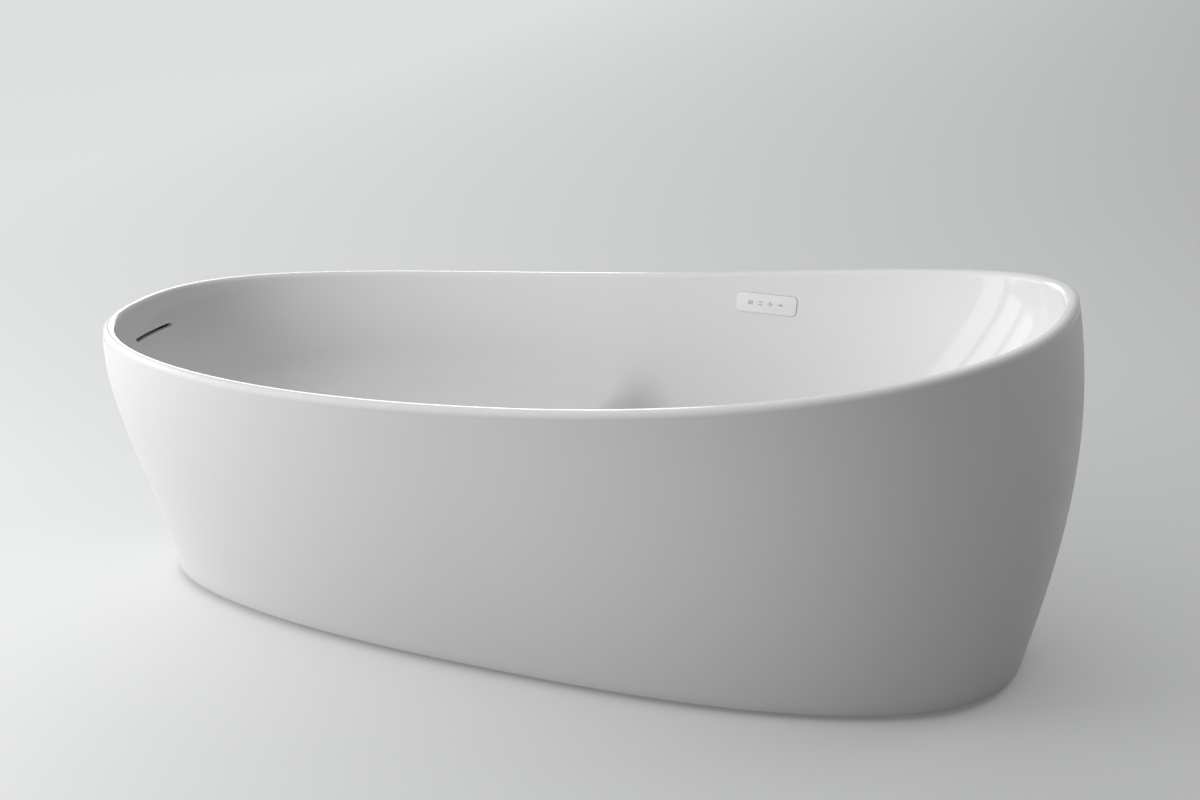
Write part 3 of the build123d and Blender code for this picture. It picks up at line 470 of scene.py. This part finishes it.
apron_rings = [apron_ring(band_z + s * (skirt - band_z), APRON) for s in steps(8)]
apron_rings += [soft_edge(share) for share in (1.0, 0.66, 0.33)]
apron_rings += [
    apron_ring(skirt + EDGE_ROUND + s * (band_z - skirt - EDGE_ROUND), 0) for s in steps(30)
]
apron_rings += [apron_rings[0]]
apron = grow_skin("apron_wall", apron_rings)
print(apron.name, len(apron.data.vertices), "points", len(apron.data.polygons), "faces")


# %% Smooth shading
def pick(piece):
    """Selects one piece and nothing else."""
    bpy.ops.object.select_all(action="DESELECT")
    piece.select_set(True)
    bpy.context.view_layer.objects.active = piece


def smooth(piece, angle=40):
    pick(piece)
    bpy.ops.object.shade_smooth_by_angle(angle=radians(angle))


for piece in (basin, apron):
    smooth(piece)
    print("smooth", piece.name)

# %% [markdown]
# ## Openings in the basin
#
# The moulding is pierced for the overflow, the waste, the water intake, the light and two
# jets, and has a shallow pocket for the touch panel. Each cutter is a primitive laid along
# the opening's own direction, and a Boolean modifier takes it out of the shell. Holes could
# also be left out of the weave, but then its rings would have to bend around each of them,
# and a gloss white wall shows every bend.

# %% Directions of the fittings
WELL_FLOOR, DRAIN_X = 125, 225
PANEL_X, PANEL_Z, JET_Y, JET_Z = 318, 605, 90, 330
RISER_SHARE, RISER_Y = 0.36, 110
RISER_FACING = Vector((riser_normal[0], 0, riser_normal[1]))


def on_riser(y):
    """The place on the riser's face of a fitting, a share of the way down it."""
    x, z = KNEE + (HEEL - KNEE) * RISER_SHARE
    return Vector((x, y, z)) / 1000


def seat_turned(place, facing):
    """A placement whose Z points along facing and whose X is level."""
    facing = Vector(facing).normalized()
    level_x = Vector((0, 0, 1)).cross(facing).normalized()
    upward = facing.cross(level_x)
    return Matrix.Translation(place) @ Matrix((level_x, upward, facing)).transposed().to_4x4()


def wall_seat(turn_low, turn_high, height, test):
    """The point of the inner wall at a height where a rising test of its place is zero."""
    low, high = turn_low, turn_high
    for _ in range(50):
        turn = (low + high) / 2
        point = inner_wall(np.array([turn]), np.array([float(height)]))[0]
        if test(point) > 0:
            high = turn
        else:
            low = turn
    normal = -outward(inner_wall, np.array([turn]), np.array([float(height)]))[0]
    return Vector(point) / 1000, Vector(normal)


panel_place, panel_facing = wall_seat(0.3, pi / 2, PANEL_Z, lambda point: PANEL_X - point[0])
jet_spots = [
    wall_seat(-0.9, 0.0, JET_Z, lambda point: point[1] + JET_Y),
    wall_seat(0.0, 0.9, JET_Z, lambda point: point[1] - JET_Y),
]
print("panel", panel_place, panel_facing, "jets", jet_spots[0][0], jet_spots[1][0])


# %% Cutters
def settle(piece):
    """Makes a piece's place part of its mesh, with its object at the origin."""
    pick(piece)
    bpy.ops.object.transform_apply(location=True, rotation=True, scale=True)
    return piece


def rod(name, radius, depth, matrix, vertices=96):
    """A round bar centred on a placement, along its Z."""
    bpy.ops.object.select_all(action="DESELECT")
    bpy.ops.mesh.primitive_cylinder_add(vertices=vertices, radius=radius, depth=depth)
    made = bpy.context.object
    made.name = name
    made.matrix_world = matrix
    return settle(made)


def rounded_block(name, width, tall, deep, corner, matrix, segments=8):
    """A block with four rounded corners, centred on a placement.

    The bevel takes the selected edges, so the selection is by edge, and only those that
    run through the block's thickness are chosen.
    """
    bpy.ops.object.select_all(action="DESELECT")
    bpy.ops.mesh.primitive_cube_add(size=1)
    block = bpy.context.object
    block.name = name
    bpy.ops.object.mode_set(mode="EDIT")
    bpy.ops.transform.resize(value=(width, tall, deep))
    bpy.ops.mesh.select_mode(type="EDGE")
    bpy.ops.mesh.select_all(action="DESELECT")
    mesh = bmesh.from_edit_mesh(block.data)
    for edge in mesh.edges:
        first, second = edge.verts
        edge.select = abs(first.co.z - second.co.z) > deep / 2
    bmesh.update_edit_mesh(block.data)
    bpy.ops.mesh.bevel(offset=corner, segments=segments)
    bpy.ops.mesh.select_mode(type="VERT")
    bpy.ops.object.mode_set(mode="OBJECT")
    block.matrix_world = matrix
    return settle(block)


PANEL_WIDE, PANEL_TALL, PANEL_CORNER = 0.148, 0.046, 0.011
POCKET_FIT, POCKET_CORNER_FIT, CUT_DEEP = 0.001, 0.0005, 0.08
floor_place = Matrix.Translation((DRAIN_X / 1000, 0, WELL_FLOOR / 1000))
panel_matrix = seat_turned(panel_place, panel_facing)
slot_matrix = seat_turned((-1.04, 0, 0.552), (1, 0, 0))
cutters = [
    rod("cut_recess", 0.036, 0.008, floor_place),
    rod("cut_drain", 0.0243, 0.06, floor_place),
    rounded_block("cut_slot", 0.146, 0.008, 0.14, 0.0039, slot_matrix),
    rounded_block(
        "cut_pocket",
        PANEL_WIDE + POCKET_FIT,
        PANEL_TALL + POCKET_FIT,
        0.007,
        PANEL_CORNER + POCKET_CORNER_FIT,
        panel_matrix,
    ),
]
for y in (-RISER_Y, RISER_Y):
    cutters.append(rod("cut_riser", 0.0283, CUT_DEEP, seat_turned(on_riser(y), RISER_FACING)))
for place, facing in jet_spots:
    cutters.append(rod("cut_jet", 0.0183, CUT_DEEP, seat_turned(place, facing)))
print("cutters", len(cutters))


# %% Cut the openings
def apply_modifier(piece, kind, **settings):
    pick(piece)
    modifier = piece.modifiers.new(kind.lower(), kind)
    for name, value in settings.items():
        setattr(modifier, name, value)
    bpy.ops.object.modifier_apply(modifier=modifier.name)


for cutter in cutters:
    apply_modifier(basin, "BOOLEAN", operation="DIFFERENCE", solver="EXACT", object=cutter)
    bpy.data.objects.remove(cutter)
smooth(basin)
print("basin after cutting", len(basin.data.vertices), "points")

# %% [markdown]
# ## Finishes
#
# The basin is cast acrylic with a high gloss. The outer wall is the same white with a satin
# finish. Neither has a picture on it, so an image texture would add nothing. What makes
# them look real is small: the roughness drifts a little from place to place, as on a wiped
# surface, and a very faint relief breaks the edges of the reflections.


# %% Materials
def material(name, colour, roughness, metallic=0.0):
    """A plain material whose shader is ready for a pattern."""
    made = bpy.data.materials.new(name)
    made.use_nodes = True
    shader = made.node_tree.nodes["Principled BSDF"]
    shader.inputs["Base Color"].default_value = (*colour, 1)
    shader.inputs["Roughness"].default_value = roughness
    shader.inputs["Metallic"].default_value = metallic
    return made


def wear(piece, finish):
    piece.data.materials.clear()
    piece.data.materials.append(finish)


def noise_on(made, scale, detail):
    """Noise that reads the piece's own coordinates."""
    nodes, links = made.node_tree.nodes, made.node_tree.links
    noise = nodes.new("ShaderNodeTexNoise")
    noise.inputs["Scale"].default_value = scale
    noise.inputs["Detail"].default_value = detail
    links.new(nodes.new("ShaderNodeTexCoord").outputs["Object"], noise.inputs["Vector"])
    return noise.outputs["Fac"]


def vary_roughness(made, low, high, scale):
    """Lets the roughness drift a little over the surface, as on a wiped or moulded one."""
    nodes, links = made.node_tree.nodes, made.node_tree.links
    spread = nodes.new("ShaderNodeMapRange")
    spread.inputs["From Min"].default_value, spread.inputs["From Max"].default_value = 0.3, 0.7
    spread.inputs["To Min"].default_value, spread.inputs["To Max"].default_value = low, high
    links.new(noise_on(made, scale, 3.0), spread.inputs["Value"])
    links.new(spread.outputs["Result"], nodes["Principled BSDF"].inputs["Roughness"])


def grain(made, scale, strength, distance):
    """A fine relief that only shows in the reflections."""
    nodes, links = made.node_tree.nodes, made.node_tree.links
    bump = nodes.new("ShaderNodeBump")
    bump.inputs["Strength"].default_value = strength
    bump.inputs["Distance"].default_value = distance
    links.new(noise_on(made, scale, 2.0), bump.inputs["Height"])
    links.new(bump.outputs["Normal"], nodes["Principled BSDF"].inputs["Normal"])


gloss_white = material("gloss_white_acrylic", (0.80, 0.80, 0.79), 0.08)
vary_roughness(gloss_white, 0.06, 0.10, 5.0)
grain(gloss_white, 14.0, 0.03, 0.002)
satin_white = material("satin_white_acrylic", (0.80, 0.80, 0.79), 0.42)
vary_roughness(satin_white, 0.38, 0.46, 9.0)
grain(satin_white, 900.0, 0.04, 0.0004)
wear(basin, gloss_white)
wear(apron, satin_white)
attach(basin, "tub")
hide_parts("basin")
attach(apron, "tub")
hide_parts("apron")
print("finished", basin.name, apron.name)

# %% [markdown]
# ## Touch panel
#
# The panel is a flat plate of white glass-like plastic with soft edges, in its pocket in the
# wall. Its four signs are printed on it: jets, waves, a lamp and a switch. They could be a
# pattern in the plate's material. They are made as very thin bars instead, so that they
# survive any export, and they carry no letters.

# %% Plate
PROUD, PLATE = 0.0035, 0.006
plate_middle = panel_matrix @ Matrix.Translation((0, 0, PROUD - PLATE / 2))
plate = rounded_block("touch_plate", PANEL_WIDE, PANEL_TALL, PLATE, PANEL_CORNER, plate_middle)
apply_modifier(plate, "BEVEL", width=0.0011, segments=4, limit_method="ANGLE")
smooth(plate, 30)
plate_white = material("touch_plate_white", (0.86, 0.86, 0.86), 0.16)
vary_roughness(plate_white, 0.13, 0.19, 30.0)
wear(plate, plate_white)
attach(plate, "tub")
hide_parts("panel_plate")

# %% Signs
INK, SIGN = 0.00012, 0.00125
sign_grey = material("sign_grey", (0.20, 0.21, 0.22), 0.5)
grain(sign_grey, 3000.0, 0.05, 0.0001)


def bar(middle, x, y, long, thick, turn=0.0):
    """A thin printed bar; x and y are from the sign's middle, in units of SIGN."""
    place = Matrix.Translation((middle + SIGN * x, SIGN * y, PROUD))
    place = panel_matrix @ place @ Matrix.Rotation(turn, 4, "Z")
    return rounded_block("sign", SIGN * long, SIGN * thick, 2 * INK, 0.0001, place, segments=2)


def ring(middle, x, y, radius, thick, share=1.0, start=0.0):
    """A printed ring, or a share of one, made of short bars."""
    count = max(4, int(18 * share))
    turns = [start + 2 * pi * share * (number + 0.5) / count for number in range(count)]
    long = 2 * pi * share * radius / count * 1.1
    return [
        bar(middle, x + radius * cos(turn), y + radius * sin(turn), long, thick, turn + pi / 2)
        for turn in turns
    ]


jets, waves, lamp, switch = -0.038, -0.0145, 0.009, 0.033
signs = [bar(jets, -4.4, 0, 0.9, 7)]
signs += [bar(jets, 0, row, 8, 0.9) for row in (2.6, 0.0, -2.6)]
for row in (2.6, -2.6):
    signs += ring(waves, -2, row - 1.4, 2.2, 0.9, 0.36, 0.45)
    signs += ring(waves, 2, row + 1.4, 2.2, 0.9, 0.36, pi + 0.45)
signs += ring(lamp, 0, 0, 2.3, 0.9)
for turn in (0, pi / 2, pi, 3 * pi / 2):
    signs.append(bar(lamp, 4.4 * cos(turn), 4.4 * sin(turn), 1.8, 0.9, turn))
signs += [bar(switch, -1.4, 0, 6, 1)]
signs += ring(switch, 3.2, 0, 1.8, 1)
bpy.ops.object.select_all(action="DESELECT")
for piece in signs:
    piece.select_set(True)
bpy.context.view_layer.objects.active = signs[0]
bpy.ops.object.join()
printed = bpy.context.object
printed.name = printed.data.name = "panel_signs"
wear(printed, sign_grey)
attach(printed, "tub")
print("signs", len(printed.data.polygons), "faces")

# %% [markdown]
# ## Finishes of the carried-over pieces
#
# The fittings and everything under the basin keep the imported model's shapes, and each
# family gets the finish of its real material: polished chrome, zinc, rubber, grey pipe
# plastic, powder coat, board and cast aluminium. One table keeps each family's colour,
# roughness, metal and pattern size, because the families differ only in these numbers.

# %% Families of finishes
FINISHES = {
    "chrome_trim": ((0.78, 0.78, 0.80), 0.10, 1.0, (0.07, 0.14), 60.0),
    "black_rubber": ((0.03, 0.03, 0.03), 0.75, 0.0, (0.68, 0.82), 180.0),
    "grey_pipe_plastic": ((0.50, 0.51, 0.52), 0.40, 0.0, (0.34, 0.46), 70.0),
    "dark_plastic": ((0.05, 0.05, 0.055), 0.45, 0.0, (0.38, 0.52), 120.0),
    "painted_frame_steel": ((0.24, 0.25, 0.26), 0.50, 0.0, (0.42, 0.58), 240.0),
    "board_wood": ((0.50, 0.38, 0.24), 0.70, 0.0, (0.6, 0.8), 40.0),
    "zinc_steel": ((0.60, 0.60, 0.62), 0.34, 1.0, (0.26, 0.42), 150.0),
    "motor_aluminium": ((0.52, 0.53, 0.55), 0.48, 1.0, (0.40, 0.55), 200.0),
    "box_plastic": ((0.60, 0.61, 0.62), 0.40, 0.0, (0.35, 0.46), 90.0),
    "lens_glass": ((0.85, 0.90, 0.95), 0.08, 0.0, (0.05, 0.12), 30.0),
}
finish_of = {}
for slot, (colour, roughness, metal, spread, scale) in FINISHES.items():
    made = material(slot, colour, roughness, metal)
    vary_roughness(made, *spread, scale)
    grain(made, scale * 12, 0.05, 0.0003)
    finish_of[slot] = made
finish_of["lens_glass"].node_tree.nodes["Principled BSDF"].inputs[
    "Transmission Weight"
].default_value = 0.6
replaced = ("basin", "apron", "panel_plate")
for part in frame["record"]["subparts"]:
    if part["node"] not in replaced:
        wear(frame["nodes"][part["node"]], finish_of[part["material_slot"]])

# %% [markdown]
# ## Floor, light and camera
#
# The picture is a studio shot: a seamless pale floor, light from the left that fades to the
# right, and windows that show in the gloss. The floor has one grey for the eye and for
# reflections, with painted light in it: it darkens to the right as a painted fall-off of the
# light, and it glows faintly, most at the left, as a painted glow. A darker grey is for the
# light that it throws back onto the tub, so that the outer wall keeps its shade. The panes of
# the windows only show in reflections, and the two lamps only light, so each can be set by
# itself.

# %% Floor
bpy.ops.object.select_all(action="DESELECT")
bpy.ops.mesh.primitive_plane_add(size=60, location=(0, 0, 0))
floor = bpy.context.object
floor.name = "floor"
floor_with_painted_light = material("floor_with_painted_light", (0.86, 0.86, 0.86), 0.7)
wear(floor, floor_with_painted_light)
print("floor", tuple(floor.dimensions))


# %% Greys of the floor, with a painted fall-off of light and a painted glow
def ramp(made, vector, low, high, first, last):
    """A grey that goes from first to last along the X of a vector."""
    nodes, links = made.nodes, made.links
    split = nodes.new("ShaderNodeSeparateXYZ")
    fade = nodes.new("ShaderNodeMapRange")
    fade.inputs["From Min"].default_value, fade.inputs["From Max"].default_value = low, high
    fade.inputs["To Min"].default_value, fade.inputs["To Max"].default_value = first, last
    links.new(vector, split.inputs["Vector"])
    links.new(split.outputs["X"], fade.inputs["Value"])
    return fade.outputs["Result"]


FLOOR_FROM, FLOOR_TO = -4.0, 3.0
tree = floor_with_painted_light.node_tree
pale = tree.nodes["Principled BSDF"].inputs
pale["Specular IOR Level"].default_value = 0
spot = tree.nodes.new("ShaderNodeTexCoord").outputs["Object"]
paths = tree.nodes.new("ShaderNodeLightPath").outputs
either = tree.nodes.new("ShaderNodeMath")
either.operation = "MAXIMUM"
tree.links.new(paths["Is Camera Ray"], either.inputs[0])
tree.links.new(paths["Is Glossy Ray"], either.inputs[1])
sight = either.outputs["Value"]
# Painted fall-off of light: for the eye and reflections the floor's grey darkens from left to
# right.
seen_grey_painted_falloff = tree.nodes.new("ShaderNodeMix")
seen_grey_painted_falloff.inputs["A"].default_value = 0.35
tree.links.new(sight, seen_grey_painted_falloff.inputs["Factor"])
tree.links.new(ramp(tree, spot, FLOOR_FROM, FLOOR_TO, 0.80, 0.50), seen_grey_painted_falloff.inputs["B"])
tree.links.new(seen_grey_painted_falloff.outputs["Result"], pale["Base Color"])
# Painted glow: for the eye and reflections the floor emits a faint light, strongest at the
# left.
lift = tree.nodes.new("ShaderNodeMath")
lift.operation = "MULTIPLY"
tree.links.new(ramp(tree, spot, FLOOR_FROM, FLOOR_TO, 0.29, 0.06), lift.inputs[0])
tree.links.new(sight, lift.inputs[1])
pale["Emission Color"].default_value = (1, 1, 1, 1)
tree.links.new(lift.outputs["Value"], pale["Emission Strength"])
print("floor shader", len(tree.nodes), "nodes")


# %% Lights
def soft_light(name, place, target, size, power):
    """A rectangle of light that faces a target."""
    lamp = bpy.data.lights.new(name, "AREA")
    lamp.shape = "RECTANGLE"
    lamp.size, lamp.size_y = size
    lamp.energy = power
    holder = bpy.data.objects.new(name, lamp)
    bpy.context.scene.collection.objects.link(holder)
    holder.location = place
    aim = Vector(target) - Vector(place)
    holder.rotation_euler = aim.to_track_quat("-Z", "Y").to_euler()
    return holder


front_lamp = soft_light("front_lamp", (-3.2, -2.2, 1.5), (-0.5, -0.5, 0.4), (2.0, 1.8), 72)
front_lamp.visible_glossy = False
fill = soft_light("fill", (2.6, 1.2, 2.8), (-0.9, 0, 0.45), (1.6, 1.6), 16)
fill.visible_glossy = False
for name, y, wide, power in (
    ("side_pane_1", -0.95, 0.9, 9),
    ("side_pane_2", 0.25, 0.9, 10),
    ("side_pane_3", 1.5, 1.0, 9),
    ("back_window", 4.6, 2.6, 50),
):
    pane = soft_light(name, (-3.7 + 0.15 * y, y, 1.9), (0.6, 0, 0.6), (wide, 2.0), power)
    pane.visible_diffuse = False
print("lights", [lamp.name for lamp in bpy.data.lights])

# %% Sky of soft light
world = bpy.data.worlds.new("studio")
bpy.context.scene.world = world
world.use_nodes = True
background = world.node_tree.nodes["Background"]
way = world.node_tree.nodes.new("ShaderNodeTexCoord").outputs["Generated"]
glow = ramp(world.node_tree, way, -0.9, 0.7, 1.12, 0.10)
world.node_tree.links.new(glow, background.inputs["Strength"])
background.inputs["Color"].default_value = (0.98, 1.0, 1.0, 1)
print("sky", world.name)

# %% Camera
YAW, PITCH, ROLL = -0.3755, 0.3341, -0.0218
EYE = (1.5102, -3.6178, 1.8521)
ahead = Vector((sin(YAW) * cos(PITCH), cos(YAW) * cos(PITCH), -sin(PITCH)))
level = Vector((cos(YAW), -sin(YAW), 0))
upright = level.cross(ahead)
right = cos(ROLL) * level + sin(ROLL) * upright
above = cos(ROLL) * upright - sin(ROLL) * level
lens = bpy.data.cameras.new("camera")
lens.lens, lens.sensor_width = 57, 36
camera = bpy.data.objects.new("camera", lens)
bpy.context.scene.collection.objects.link(camera)
turned = Matrix((right, above, -ahead)).transposed().to_4x4()
camera.matrix_world = Matrix.Translation(EYE) @ turned
bpy.context.scene.camera = camera
bpy.context.scene.view_settings.view_transform = "Standard"
print("camera at", EYE)

# %% Finish
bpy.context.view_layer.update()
